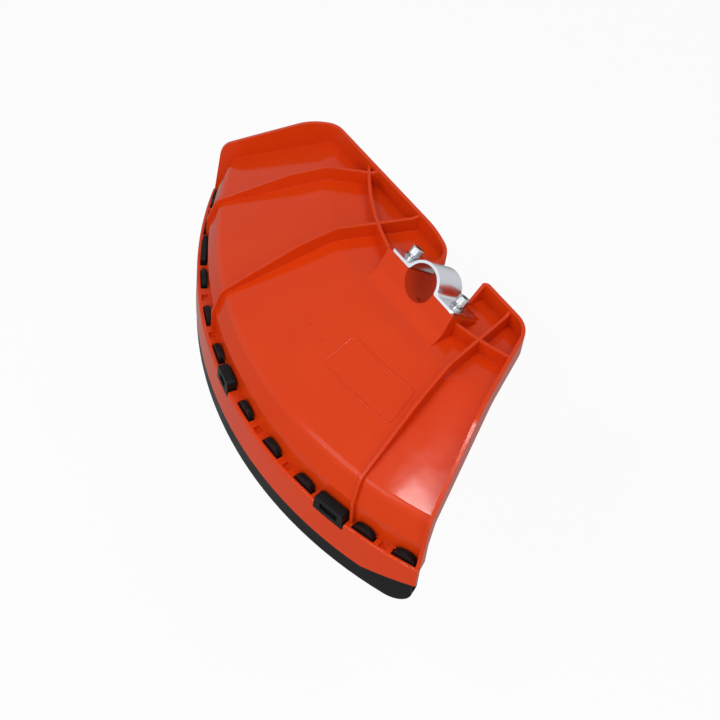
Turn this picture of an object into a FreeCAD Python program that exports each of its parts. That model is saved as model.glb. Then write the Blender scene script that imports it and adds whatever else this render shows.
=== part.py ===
import FreeCAD, Part
import math
import os
import Sketcher

# Blade guard of a grass trimmer: a moulded shell, its clip-on skirt and its tube clamp.
# Frame: millimetres, origin on the tube's axis in the middle of the clamp, +Z up, +Y towards the cutter.
# The tube runs down towards +Y. The moulded rings are all centred on the cutter's upright spindle axis.
# Drops are measured down from the origin, radii from the spindle axis, angles from -Y towards +X.

SIZES = (
    ("tube_diameter", 26.0, "Drive tube that the clamp grips"),
    ("tube_tilt", 40.7, "Slope of the tube below the horizontal, degrees"),
    ("spindle_reach", 171.4, "From the clamp to the spindle axis, along Y"),
    ("left_end_angle", -47.5, "Direction of the left end at the ledge, degrees"),
    ("right_end_angle", 26.4, "Direction of the right end at the ledge, degrees"),
    ("right_lean_angle", 2.0, "Turn of the right end's wall from the radius, degrees"),
    ("slot_middle_angle", -10.9, "Direction of the middle of the slots, degrees"),
    ("front_reach", 30.9, "From the clamp to the straight front edge"),
    ("left_corner_round", 15.0, "Left front corner in plan"),
    ("right_corner_round", 20.0, "Right front corner in plan"),
    ("notch_left", 17.0, "Left side of the tube notch, from the tube's axis"),
    ("notch_right", 18.5, "Right side of the tube notch, from the tube's axis"),
    ("notch_root", 13.4, "Root of the tube notch, along Y"),
    ("notch_left_round", 9.0, "Outer left corner of the tube notch"),
    ("notch_right_round", 4.0, "Outer right corner of the tube notch"),
    ("root_round", 5.0, "Inner corners of the tube notch"),
    ("wall", 2.8, "Moulded wall"),
    ("panel_drop", 9.4, "Top of the level inner panel"),
    ("crease_radius", 210.0, "Where the panel starts to slope"),
    ("crease_round", 24.0, "Bend of the panel, inside"),
    ("guard_radius", 300.4, "Outer wall at its lower edge, from the spindle"),
    ("shoulder_inset", 15.4, "Outer edge of the sloped panel, inside the outer wall"),
    ("shoulder_drop", 48.4, "Outer edge of the sloped panel"),
    ("shoulder_round", 6.0, "Bend at the shoulder, inside"),
    ("waist_inset", 8.9, "Foot of the leaning wall, inside the outer wall"),
    ("waist_drop", 67.4, "Foot of the leaning wall"),
    ("ledge_drop", 85.4, "Top of the slotted ledge"),
    ("lip_inset", 0.9, "Outer edge of the ledge, inside the outer wall's foot"),
    ("lip_round", 1.8, "Rounding of the ledge's outer edge"),
    ("hem_drop", 115.4, "Lower edge of the outer wall"),
    ("hem_lift", 13.0, "Rise of the lower edge at the ends"),
    ("hem_run", 40.0, "Length of that rise"),
    ("rim_height", 14.0, "Rim above the panel"),
    ("rim_wall", 2.6, "Rim thickness"),
    ("rim_fall_start", 45.0, "Where the rim starts to fall towards the notch, along -X"),
    ("rim_fall_round", 40.0, "Radius of that fall"),
    ("rim_bend", 226.0, "Radius where the end walls start to slope"),
    ("rim_bend_round", 45.0, "Rounding of that bend"),
    ("rim_shoulder_inset", 7.9, "Shoulder of the end walls, inside the outer wall"),
    ("rim_shoulder_drop", 37.5, "Shoulder of the end walls"),
    ("rim_shoulder_round", 16.0, "Rounding of that shoulder"),
    ("rim_foot", 1.6, "From the end walls' feet to the ledge's edge"),
    ("rib_wall", 2.2, "Rib thickness"),
    ("rib_height", 11.0, "Ribs above the level panel"),
    ("rib_crown", 26.0, "From the panel's bend to the ribs' own bend"),
    ("rib_crown_height", 12.0, "Ribs above the sloped panel there"),
    ("rib_crown_round", 60.0, "Rounding of that bend"),
    ("rib_end_height", 1.6, "Ribs above the shoulder"),
    ("rib_end_reach", 3.0, "Ribs past the shoulder"),
    ("rib_end_round", 9.0, "Rounding of the ribs' outer ends"),
    ("rib_foot", 1.5, "From the wall's foot to the ribs' feet"),
    ("rib_bend_round", 12.0, "Rounding of the ribs over the panel's bend"),
    ("rib_rise", 2.0, "Rise of the ribs where they meet the front rim"),
    ("rib_rise_run", 4.0, "Length of that rise"),
    ("rib_left_angle", -36.4, "Rib near the left end, where the panel bends, degrees"),
    ("rib_left_turn_angle", -5.0, "Turn of that rib from the radius, degrees"),
    ("rib_middle_angle", -20.4, "Rib left of the clamp, degrees"),
    ("rib_middle_turn_angle", -0.4, "Turn of that rib from the radius, degrees"),
    ("rib_right_angle", 16.4, "Rib right of the clamp, degrees"),
    ("rib_right_turn_angle", -4.0, "Turn of that rib from the radius, degrees"),
    ("arc_rib_radius", 181.0, "Rib across the level panel"),
    ("boss_half", 35.0, "Half the width of the seat block"),
    ("boss_foot", 19.9, "Foot of the seat block on the panel, along -Y"),
    ("boss_round", 12.0, "Rounding of that foot"),
    ("boss_wall", 3.5, "Walls round the hollows of the seat block"),
    ("seat_rise", 1.1, "Seat plane above the tube's axis"),
    ("seat_clear", 18.0, "How far the seat is clear along the tube"),
    ("trough_far", 24.0, "Far end of the seat trough"),
    ("trough_near", 8.0, "Near end of the seat trough"),
    ("sink_diameter", 7.0, "Locating sink in the seat"),
    ("sink_shift", 2.0, "That sink from the middle of the clamp, down the tube"),
    ("sink_depth", 1.2, "Depth of that sink"),
    ("slot_length", 18.0, "Slots for the skirt's tabs"),
    ("slot_width", 4.9, "Width of those slots"),
    ("slot_inset", 0.6, "From the wall's foot to the slots"),
    ("hole_length", 5.5, "Small square sinks between the slots"),
    ("hole_depth", 2.0, "Depth of those sinks"),
    ("long_slot_length", 26.0, "Slot for the long tab near the left end"),
    ("long_tab_round", 2.5, "Upper corners of the long tab"),
    ("clip_slot_length", 26.0, "Opening for the right clip"),
    ("middle_slot_length", 20.0, "Opening for the middle clip"),
    ("middle_shift_angle", -0.5, "Middle clip from the middle, degrees"),
    ("clip_notch", 6.0, "Depth of the clips' notches in the outer wall"),
    ("clip_pitch_angle", 23.8, "Between long tab, middle and right clip, degrees"),
    ("hole_pitch_angle", 3.4, "Between a slot and a hole, degrees"),
    ("left_pitch_angle", 2.7, "The same in the left end group, degrees"),
    ("right_pitch_angle", 3.0, "The same in the right end group, degrees"),
    ("skirt_wall", 2.6, "Skirt thickness"),
    ("skirt_reach", 15.0, "Skirt below the outer wall"),
    ("skirt_inset_angle", 0.15, "Skirt's ends inside the shell's, degrees"),
    ("skirt_round", 20.0, "Lower corners of the skirt"),
    ("skirt_lip", 3.5, "Skirt's inward lip under the slots"),
    ("skirt_gap", 0.3, "Clearance between skirt and shell"),
    ("tab_height", 6.3, "Tabs above the ledge"),
    ("tab_round", 6.5, "Upper corners of the tabs"),
    ("tab_gap", 0.8, "Clearance of tabs and clips in their slots"),
    ("clip_height", 8.5, "Clips above the ledge"),
    ("clip_round", 2.5, "Upper edges of the clips"),
    ("window_margin", 5.5, "From a clip's opening to the window in the clip"),
    ("window_height", 6.0, "Window height"),
    ("window_depth", 2.0, "Window depth"),
    ("strap_width", 28.0, "Clamp strap along the tube"),
    ("strap_wall", 2.0, "Strap thickness"),
    ("strap_bend", 4.0, "Bend between arch and flange"),
    ("flange_half", 33.0, "From the tube's axis to a flange's end"),
    ("flange_round", 3.0, "Corners of the flanges"),
    ("strap_margin", 0.6, "Room round the strap on its seat"),
    ("screw_spacing", 50.0, "Between the clamp screws"),
    ("screw_diameter", 5.0, "Screw shank"),
    ("screw_length", 20.0, "Shank below the head"),
    ("hole_play", 0.5, "Screw holes over the shank"),
    ("head_diameter", 8.5, "Screw head"),
    ("head_height", 6.0, "Screw head"),
    ("screw_edge", 0.5, "Bevels of the screw"),
    ("socket_flats", 4.0, "Hexagon socket"),
    ("socket_depth", 3.0, "Hexagon socket"),
    ("flat_washer_diameter", 10.0, "Flat washer"),
    ("flat_washer_height", 1.0, "Flat washer"),
    ("spring_washer_diameter", 8.9, "Spring washer"),
    ("spring_washer_height", 1.4, "Spring washer"),
    ("spring_slit", 1.2, "Slit of the spring washer"),
    ("nut_flats", 8.0, "Nut across flats"),
    ("nut_height", 4.0, "Nut"),
    ("nut_seat", 5.9, "Floor of the nut pockets below the tube's axis"),
    ("nut_play", 0.3, "Nut pockets over the nut"),
    ("trim_margin", 10.0, "How far cutting shapes reach past what they cut"),
)

doc = FreeCAD.newDocument("TrimmerGuard")
sheet = doc.addObject("Spreadsheet::Sheet", "Sizes")
for row, (alias, number, meaning) in enumerate(SIZES, 1):
    sheet.set(f"A{row}", meaning)
    sheet.set(f"B{row}", str(number))
    sheet.setAlias(f"B{row}", alias)
doc.recompute()

PROBE = 0.01
SPINDLE = ("0", "Sizes.spindle_reach", "0")
ORIGIN = ("0", "0", "0")
SECTOR_MIDDLE = "((Sizes.left_end_angle + Sizes.right_end_angle) / 2)"
SECTOR_SPAN = "(Sizes.right_end_angle - Sizes.left_end_angle)"
TILT = "(Sizes.tube_tilt * 1 deg)"
SHOULDER_RADIUS = "(Sizes.guard_radius - Sizes.shoulder_inset)"
WAIST_RADIUS = "(Sizes.guard_radius - Sizes.waist_inset)"
LIP_RADIUS = "(Sizes.guard_radius - Sizes.lip_inset)"
RIM_SHOULDER_RADIUS = "(Sizes.guard_radius - Sizes.rim_shoulder_inset)"
RIB_FOOT = f"({WAIST_RADIUS} + Sizes.rib_foot)"
SLOPE = f"((Sizes.shoulder_drop - Sizes.panel_drop) / ({SHOULDER_RADIUS} - Sizes.crease_radius))"
INNER_RADIUS = "(Sizes.spindle_reach - Sizes.front_reach - Sizes.trim_margin)"
RIB_TOP = "(Sizes.rib_height - Sizes.panel_drop)"
PANEL_CORE = "(-Sizes.panel_drop - Sizes.wall / 2)"
LEDGE_CORE = "(-Sizes.ledge_drop - Sizes.wall / 2)"
LEDGE_UNDERSIDE = "(-Sizes.ledge_drop - Sizes.wall)"
SKIRT_OUTSIDE = f"({LIP_RADIUS} - Sizes.wall - Sizes.skirt_gap)"
SLOT_RADIUS = f"({WAIST_RADIUS} + Sizes.slot_inset)"
FLANGE_TOP = "(Sizes.seat_rise + Sizes.strap_wall)"
HEAD_SEAT = f"({FLANGE_TOP} + Sizes.flat_washer_height + Sizes.spring_washer_height)"


def value(expression):
    """The number that an expression on the sheet has now."""
    return float(sheet.evalExpression(expression))


def vector(x, y, z):
    return f"create(<<vector>>; {x}; {y}; {z})"


def place(item, base, axis=("0", "0", "1"), angle="0"):
    """Binds an object's place and turn to the sheet."""
    turn = f"create(<<rotation>>; {vector(*axis)}; {angle})"
    item.setExpression("Placement", f"create(<<placement>>; {vector(*base)}; {turn})")


def new_body(name, base=ORIGIN, axis=("0", "0", "1"), angle="0"):
    body = doc.addObject("PartDesign::Body", name)
    place(body, base, axis, angle)
    return body


def spindle_body(name, angle=SECTOR_MIDDLE):
    """A body whose own Z is the spindle axis and whose own X points out at the given angle."""
    return new_body(name, SPINDLE, angle=f"{angle} - 90")


def clamp_body(name, across="0", height="0"):
    """A body whose own Y runs down the tube and whose own Z is the screws' direction."""
    base = (across, f"({height}) * sin({TILT})", f"({height}) * cos({TILT})")
    return new_body(name, base, ("1", "0", "0"), "-Sizes.tube_tilt")


def new_sketch(body, role, name, lift=None):
    """A sketch on one of the body's origin planes, lifted off it if asked."""
    sketch = body.newObject("Sketcher::SketchObject", name)
    plane = [item for item in body.Origin.OriginFeatures if item.Role == role]
    sketch.AttachmentSupport = (plane[0], [""])
    sketch.MapMode = "FlatFace"
    if lift:
        sketch.setExpression("AttachmentOffset.Base.z", lift)
    return sketch


def bind(sketch, kind, *where, to):
    """One dimension of a sketch, tied to the sheet."""
    index = sketch.addConstraint(Sketcher.Constraint(kind, *where, value(to)))
    sketch.setExpression(f"Constraints[{index}]", to)


def outline(sketch, corners):
    """A closed outline of straight lines whose corners are pairs of expressions."""
    points = [FreeCAD.Vector(value(x), value(y), 0) for x, y in corners]
    first = sketch.GeometryCount
    count = len(points)
    for i in range(count):
        sketch.addGeometry(Part.LineSegment(points[i], points[(i + 1) % count]))
    for i, (x, y) in enumerate(corners):
        sketch.addConstraint(Sketcher.Constraint("Coincident", first + i, 2, first + (i + 1) % count, 1))
        bind(sketch, "DistanceX", -1, 1, first + i, 1, to=x)
        bind(sketch, "DistanceY", -1, 1, first + i, 1, to=y)


def ring(sketch, diameter, x="0", y="0"):
    """A circle whose centre and diameter are expressions."""
    centre = FreeCAD.Vector(value(x), value(y), 0)
    index = sketch.addGeometry(Part.Circle(centre, FreeCAD.Vector(0, 0, 1), value(diameter) / 2))
    bind(sketch, "DistanceX", -1, 1, index, 3, to=x)
    bind(sketch, "DistanceY", -1, 1, index, 3, to=y)
    bind(sketch, "Diameter", index, to=diameter)


def hexagon(sketch, flats):
    """A regular hexagon about the sketch's origin."""
    across = f"({flats}) / sqrt(3)"
    half = f"({flats}) / (2 * sqrt(3))"
    outline(sketch, (
        (across, "0"), (half, f"({flats}) / 2"), (f"-{half}", f"({flats}) / 2"),
        (f"-{across}", "0"), (f"-{half}", f"-({flats}) / 2"), (half, f"-({flats}) / 2")))


def revolve(body, sketch, angle):
    feature = body.newObject("PartDesign::Revolution", f"{body.Name}_turn")
    feature.Profile = sketch
    feature.ReferenceAxis = (sketch, ["V_Axis"])
    feature.Midplane = True
    feature.setExpression("Angle", angle)
    doc.recompute()
    return feature


def extrude(body, sketch, length, cut=False, symmetric=False, backwards=False):
    """A pad or a pocket of one sketch."""
    kind = "PartDesign::Pocket" if cut else "PartDesign::Pad"
    feature = body.newObject(kind, f"{sketch.Name}_{'cut' if cut else 'pad'}")
    feature.Profile = sketch
    feature.SideType = "Symmetric" if symmetric else "One side"
    feature.Reversed = backwards
    feature.setExpression("Length", length)
    doc.recompute()
    return feature


def round_edges(body, radius, wanted):
    """Rounds the edges of a body's last feature that the test picks."""
    base = body.Tip
    names = [f"Edge{i}" for i, edge in enumerate(base.Shape.Edges, 1) if wanted(edge)]
    feature = body.newObject("PartDesign::Fillet", f"{base.Name}_round")
    feature.Base = (base, names)
    feature.setExpression("Radius", radius)
    doc.recompute()


def near(a, b):
    return abs(a - b) < PROBE


def is_hoop(edge, radius, level):
    """True for an edge that circles the body's Z at this radius and level."""
    hoop = isinstance(edge.Curve, Part.Circle)
    return hoop and near(edge.Curve.Radius, radius) and near(edge.Curve.Center.z, level)


def is_upright(edge, places):
    """True for an upright edge over one of these places in plan."""
    ends = [vertex.Point for vertex in edge.Vertexes]
    if len(ends) != 2 or math.hypot(ends[0].x - ends[1].x, ends[0].y - ends[1].y) > PROBE:
        return False
    return any(near(ends[0].x, x) and near(ends[0].y, y) for x, y in places)


def is_crossing(edge, x, z):
    """True for an edge that runs along the body's Y at this place of its side view."""
    return all(near(vertex.X, x) and near(vertex.Z, z) for vertex in edge.Vertexes)


def join(name, items):
    """A fusion of several objects."""
    result = doc.addObject("Part::MultiFuse", name)
    result.Shapes = items
    return result


def combine(name, kind, base, tool):
    """A cut or a common of two objects."""
    result = doc.addObject(kind, name)
    result.Base = base
    result.Tool = tool
    return result


def offset_chain(points, distance):
    """Corners of a chain of lines moved sideways by a distance, ends kept on their own ends' directions."""
    moved = []
    for a, b in zip(points, points[1:]):
        length = math.hypot(b[0] - a[0], b[1] - a[1])
        normal = ((b[1] - a[1]) / length * distance, -(b[0] - a[0]) / length * distance)
        moved.append(((a[0] + normal[0], a[1] + normal[1]), (b[0] + normal[0], b[1] + normal[1])))
    corners = [moved[0][0]]
    for (a, b), (c, d) in zip(moved, moved[1:]):
        first = (b[0] - a[0], b[1] - a[1])
        second = (d[0] - c[0], d[1] - c[1])
        cross = first[0] * second[1] - first[1] * second[0]
        along = ((c[0] - a[0]) * second[1] - (c[1] - a[1]) * second[0]) / cross
        corners.append((a[0] + first[0] * along, a[1] + first[1] * along))
    corners.append(moved[-1][1])
    return corners


SECTION = (
    (INNER_RADIUS, "-Sizes.panel_drop"),
    ("Sizes.crease_radius", "-Sizes.panel_drop"),
    (SHOULDER_RADIUS, "-Sizes.shoulder_drop"),
    (WAIST_RADIUS, "-Sizes.waist_drop"),
    (WAIST_RADIUS, "-Sizes.ledge_drop"),
    (LIP_RADIUS, "-Sizes.ledge_drop"),
    ("Sizes.guard_radius", "-Sizes.hem_drop"),
)


def section_outline(sketch):
    """The shell's section: its outer side from the sheet, its inner side parallel to it one wall away."""
    outer = [(value(x), value(z)) for x, z in SECTION]
    inner = offset_chain(outer, value("Sizes.wall"))
    hem = inner[-1]
    lean = (outer[-1][0] - outer[-2][0]) / (outer[-1][1] - outer[-2][1])
    inner[-1] = (hem[0] + (outer[-1][1] - hem[1]) * lean, outer[-1][1])
    loop = outer + inner[::-1]
    count = len(loop)
    last = len(outer) - 1
    for i in range(count):
        start = FreeCAD.Vector(*loop[i], 0)
        end = FreeCAD.Vector(*loop[(i + 1) % count], 0)
        sketch.addGeometry(Part.LineSegment(start, end))
    for i in range(count):
        sketch.addConstraint(Sketcher.Constraint("Coincident", i, 2, (i + 1) % count, 1))
    for i, (x, z) in enumerate(SECTION):
        bind(sketch, "DistanceX", -1, 1, i, 1, to=x)
        bind(sketch, "DistanceY", -1, 1, i, 1, to=z)
    for i in range(last):
        partner = count - 2 - i
        sketch.addConstraint(Sketcher.Constraint("Parallel", i, partner))
        bind(sketch, "Distance", partner, 1, i, to="Sizes.wall")
    sketch.addConstraint(Sketcher.Constraint("Horizontal", last))
    sketch.addConstraint(Sketcher.Constraint("Vertical", count - 1))
    return inner


def shell_ring():
    """The moulded section swept round the spindle, a little past both ends."""
    body = spindle_body("ShellRing")
    sketch = new_sketch(body, "XZ_Plane", "ShellSection")
    inner = section_outline(sketch)
    revolve(body, sketch, f"{SECTOR_SPAN} + Sizes.trim_margin")
    for name, corner in (("crease", 1), ("shoulder", 2)):
        top = [value(item) for item in SECTION[corner]]
        under = inner[corner]
        inside = f"Sizes.{name}_round"
        round_edges(body, inside, lambda edge: is_hoop(edge, *under))
        round_edges(body, f"{inside} + Sizes.wall", lambda edge: is_hoop(edge, *top))
    lip = [value(item) for item in SECTION[5]]
    round_edges(body, "Sizes.lip_round", lambda edge: is_hoop(edge, *lip))
    return body


UNDER_SIDE = (
    (f"{LIP_RADIUS} - Sizes.rim_foot", LEDGE_CORE),
    (f"{WAIST_RADIUS} - Sizes.wall / 2", LEDGE_CORE),
    (f"{WAIST_RADIUS} - Sizes.wall / 2", "-Sizes.waist_drop - Sizes.wall / 2"),
    (f"{SHOULDER_RADIUS} - Sizes.wall / 2", "-Sizes.shoulder_drop - Sizes.wall / 2"),
    ("Sizes.crease_radius - Sizes.wall", PANEL_CORE),
    (INNER_RADIUS, PANEL_CORE),
)


def rim_ring():
    """Everything that the rim can fill: the band above the panel, down to the ledge."""
    body = spindle_body("RimRing")
    sketch = new_sketch(body, "XZ_Plane", "RimSection")
    outline(sketch, UNDER_SIDE + (
        (INNER_RADIUS, "Sizes.rim_height - Sizes.panel_drop"),
        ("Sizes.rim_bend", "Sizes.rim_height - Sizes.panel_drop"),
        (RIM_SHOULDER_RADIUS, "-Sizes.rim_shoulder_drop"),
        (f"{LIP_RADIUS} - Sizes.rim_foot", "-Sizes.ledge_drop")))
    revolve(body, sketch, f"{SECTOR_SPAN} + Sizes.trim_margin")
    bend = (value("Sizes.rim_bend"), value("Sizes.rim_height - Sizes.panel_drop"))
    round_edges(body, "Sizes.rim_bend_round", lambda edge: is_hoop(edge, *bend))
    shoulder = (value(RIM_SHOULDER_RADIUS), -value("Sizes.rim_shoulder_drop"))
    round_edges(body, "Sizes.rim_shoulder_round", lambda edge: is_hoop(edge, *shoulder))
    return body


def radial_rib(name, side):
    """A rib that follows the panel outwards, bows over its slope and runs down the wall to the ledge."""
    angle = f"Sizes.rib_{side}_angle"
    turned = f"({angle} + Sizes.rib_{side}_turn_angle)"
    x = f"Sizes.crease_radius * (sin({angle} * 1 deg) - sin({turned} * 1 deg))"
    y = f"Sizes.spindle_reach - Sizes.crease_radius * (cos({angle} * 1 deg) - cos({turned} * 1 deg))"
    body = new_body(name, (x, y, "0"), angle=f"{turned} - 90")
    sketch = new_sketch(body, "XZ_Plane", f"{name}Side")
    crown_height = f"Sizes.rib_crown_height - Sizes.panel_drop - Sizes.rib_crown * {SLOPE}"
    bends = (("Sizes.crease_radius", RIB_TOP, "Sizes.rib_bend_round"),
             ("Sizes.crease_radius + Sizes.rib_crown", crown_height, "Sizes.rib_crown_round"),
             (f"{SHOULDER_RADIUS} + Sizes.rib_end_reach", "Sizes.rib_end_height - Sizes.shoulder_drop",
              "Sizes.rib_end_round"))
    crest = tuple(bend[:2] for bend in bends)
    front = "(Sizes.front_reach - Sizes.rim_wall - Sizes.spindle_reach)"
    run = f"(({front} + Sizes.crease_radius * cos({angle} * 1 deg)) / cos({turned} * 1 deg))"
    rim = f"(Sizes.crease_radius - {run})"
    top = f"{RIB_TOP} + Sizes.rib_rise"
    outline(sketch, ((RIB_FOOT, LEDGE_CORE), *UNDER_SIDE[1:], (INNER_RADIUS, top), (rim, top),
                     (f"{rim} + Sizes.rib_rise_run", RIB_TOP), *crest, (RIB_FOOT, "-Sizes.ledge_drop")))
    extrude(body, sketch, "Sizes.rib_wall", symmetric=True)
    for x, z, radius in bends:
        spot = (value(x), value(z))
        round_edges(body, radius, lambda edge: is_crossing(edge, *spot))
    return body


def arc_rib():
    """The rib that crosses the level panel from end wall to end wall."""
    body = spindle_body("ArcRib")
    sketch = new_sketch(body, "XZ_Plane", "ArcRibSection")
    inside = "Sizes.arc_rib_radius - Sizes.rib_wall / 2"
    outside = "Sizes.arc_rib_radius + Sizes.rib_wall / 2"
    outline(sketch, ((inside, PANEL_CORE), (outside, PANEL_CORE), (outside, RIB_TOP), (inside, RIB_TOP)))
    revolve(body, sketch, f"{SECTOR_SPAN} + Sizes.trim_margin")
    return body


def plan_corners(inset):
    """The guard's outline in plan, moved in by an inset, with its far side beyond the rings."""
    front = f"(Sizes.front_reach - {inset})"
    left = f"(-Sizes.notch_left - {inset})"
    right = f"(Sizes.notch_right + {inset})"
    root = f"(Sizes.notch_root - {inset})"
    corners = []
    ends = (("Sizes.left_end_angle", "0", "-1"), ("Sizes.right_end_angle", "Sizes.right_lean_angle", "1"))
    for end, lean, side in ends:
        sine = f"sin(({end} + {lean}) * 1 deg)"
        cosine = f"cos(({end} + {lean}) * 1 deg)"
        x = f"({LIP_RADIUS} * sin({end} * 1 deg) - {side} * {inset} * {cosine})"
        y = f"(Sizes.spindle_reach - {LIP_RADIUS} * cos({end} * 1 deg) - {side} * {inset} * {sine})"
        corners.append((f"{x} - ({front} - {y}) / {cosine} * {sine}", front))
        corners.append((f"{x} + {LIP_RADIUS} / 2 * {sine}", f"{y} - {LIP_RADIUS} / 2 * {cosine}"))
    left_front, left_far, right_front, right_far = corners
    notch = [(left, front), (left, root), (right, root), (right, front)]
    return [left_front, *notch, right_front, right_far, left_far]


def plan_prism(name, inset):
    """An upright block with the guard's outline in plan and its corners rounded."""
    body = new_body(name)
    sketch = new_sketch(body, "XY_Plane", f"{name}Outline")
    corners = plan_corners(inset)
    outline(sketch, corners)
    extrude(body, sketch, "2 * (Sizes.hem_drop + Sizes.trim_margin)", symmetric=True)
    places = [(value(x), value(y)) for x, y in corners]
    outer_rounds = ((0, "left_corner_round"), (1, "notch_left_round"),
                    (4, "notch_right_round"), (5, "right_corner_round"))
    for corner, name in outer_rounds:
        round_edges(body, f"Sizes.{name} - {inset}", lambda edge: is_upright(edge, [places[corner]]))
    round_edges(body, f"Sizes.root_round + {inset}", lambda edge: is_upright(edge, places[2:4]))
    return body


def clamp_side(along, height):
    """A point of the clamp's middle plane, given along the tube and across it, as Y and Z."""
    return (f"({along}) * cos({TILT}) + ({height}) * sin({TILT})",
            f"({height}) * cos({TILT}) - ({along}) * sin({TILT})")


def seat_block():
    """The wedge that carries the clamp: level under the panel, square to the screws on top."""
    body = new_body("SeatBlock")
    sketch = new_sketch(body, "YZ_Plane", "SeatSide")
    near_edge = clamp_side("-(Sizes.strap_width / 2 + Sizes.strap_margin)", "Sizes.seat_rise")
    run = f"((Sizes.seat_rise * cos({TILT}) - {PANEL_CORE}) / sin({TILT}))"
    tongue = "(-Sizes.boss_foot - Sizes.boss_round)"
    outline(sketch, (near_edge, ("-Sizes.boss_foot", "-Sizes.panel_drop"), (tongue, "-Sizes.panel_drop"),
                     (tongue, PANEL_CORE), clamp_side(run, "Sizes.seat_rise")))
    extrude(body, sketch, "2 * Sizes.boss_half", symmetric=True)
    foot = (-value("Sizes.boss_foot"), -value("Sizes.panel_drop"))
    round_edges(body, "Sizes.boss_round", lambda edge: all(
        near(vertex.Y, foot[0]) and near(vertex.Z, foot[1]) for vertex in edge.Vertexes))
    return body


def seat_trough():
    """The half pipe under the tube."""
    body = clamp_body("SeatTrough")
    sketch = new_sketch(body, "XZ_Plane", "TroughSection", lift="-Sizes.trough_far")
    radius = "(Sizes.tube_diameter / 2 + Sizes.boss_wall)"
    reach = value(radius)
    start = FreeCAD.Vector(-reach, 0, 0)
    end = FreeCAD.Vector(reach, 0, 0)
    arc = sketch.addGeometry(Part.Arc(start, FreeCAD.Vector(0, -reach, 0), end))
    chord = sketch.addGeometry(Part.LineSegment(end, start))
    sketch.addConstraint(Sketcher.Constraint("Coincident", arc, 2, chord, 1))
    sketch.addConstraint(Sketcher.Constraint("Coincident", arc, 1, chord, 2))
    sketch.addConstraint(Sketcher.Constraint("Coincident", arc, 3, -1, 1))
    sketch.addConstraint(Sketcher.Constraint("PointOnObject", -1, 1, chord))
    sketch.addConstraint(Sketcher.Constraint("Horizontal", chord))
    bind(sketch, "Radius", arc, to=radius)
    extrude(body, sketch, "Sizes.trough_far + Sizes.trough_near")
    return body


def polar_box(name, angle, radius, depth, length, low, high):
    """A box square to the radius at an angle from the guard's middle."""
    box = doc.addObject("Part::Box", name)
    turn = f"({angle} + Sizes.slot_middle_angle - 90)"
    sine = f"sin({turn} * 1 deg)"
    cosine = f"cos({turn} * 1 deg)"
    x = f"({radius}) * {cosine} + ({length}) / 2 * {sine}"
    y = f"Sizes.spindle_reach + ({radius}) * {sine} - ({length}) / 2 * {cosine}"
    place(box, (x, y, low), angle=turn)
    box.setExpression("Length", depth)
    box.setExpression("Width", length)
    box.setExpression("Height", f"({high}) - ({low})")
    return box


CLIPS = (("Sizes.middle_shift_angle", "Sizes.middle_slot_length"),
         ("Sizes.clip_pitch_angle", "Sizes.clip_slot_length"))
TABS = [("(-Sizes.clip_pitch_angle)", "Sizes.long_slot_length", "Sizes.long_tab_round")]
SINK_ANGLES = []
END_GROUP = "3 / 2 * Sizes.clip_pitch_angle - 2 * Sizes.hole_pitch_angle"
MIDDLE_GROUP = "Sizes.clip_pitch_angle / 2"
MIDDLE_STEPS = [f"{MIDDLE_GROUP} + {step} * Sizes.hole_pitch_angle" for step in (-2, -1, 0, 1, 2)]
TAB_STEPS = (0, 2, 4, 5, 7)
for side, word in ((-1, "left"), (1, "right")):
    end_steps = [f"{END_GROUP} + {step} * Sizes.{word}_pitch_angle" for step in (0, 1, 2)]
    for i, step in enumerate(MIDDLE_STEPS + end_steps):
        angle = f"({side} * ({step}))"
        if i in TAB_STEPS:
            TABS.append((angle, "Sizes.slot_length", "Sizes.tab_round"))
        else:
            SINK_ANGLES.append(angle)


def ledge_cutters():
    """Slots for tabs, small sinks and the clips' openings, with room above for what stands in them."""
    low = f"{LEDGE_UNDERSIDE} - Sizes.lip_round"
    over_tabs = "Sizes.tab_height + Sizes.tab_gap - Sizes.ledge_drop"
    over_clips = "Sizes.clip_height + Sizes.tab_gap - Sizes.ledge_drop"
    boxes = []
    for i, (angle, length, _) in enumerate(TABS, 1):
        boxes.append(polar_box(f"Slot{i}", angle, SLOT_RADIUS, "Sizes.slot_width", length, low, over_tabs))
    for i, angle in enumerate(SINK_ANGLES, 1):
        boxes.append(polar_box(f"Sink{i}", angle, SLOT_RADIUS, "Sizes.slot_width", "Sizes.hole_length",
                               "-Sizes.ledge_drop - Sizes.hole_depth", over_tabs))
    for i, (angle, length) in enumerate(CLIPS, 1):
        boxes.append(polar_box(f"Opening{i}", angle, SLOT_RADIUS, "Sizes.trim_margin + Sizes.slot_width",
                               length, "-Sizes.ledge_drop - Sizes.clip_notch", over_clips))
    return boxes


def rim_fall():
    """Rounds the rim down towards the notch on its left."""
    block = doc.addObject("Part::Box", "FallBlock")
    low = "(Sizes.rim_height - Sizes.panel_drop - Sizes.rim_fall_round)"
    depth = "(Sizes.front_reach - Sizes.notch_root + Sizes.trim_margin)"
    place(block, ("-Sizes.rim_fall_start", "Sizes.notch_root", low))
    block.setExpression("Length", "Sizes.rim_fall_start")
    block.setExpression("Width", depth)
    block.setExpression("Height", "Sizes.rim_fall_round + Sizes.trim_margin")
    drum = doc.addObject("Part::Cylinder", "FallDrum")
    base = ("-Sizes.rim_fall_start", "Sizes.notch_root - Sizes.trim_margin", low)
    place(drum, base, ("1", "0", "0"), "-90")
    drum.setExpression("Radius", "Sizes.rim_fall_round")
    drum.setExpression("Height", f"{depth} + 2 * Sizes.trim_margin")
    return combine("RimFall", "Part::Cut", block, drum)


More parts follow.
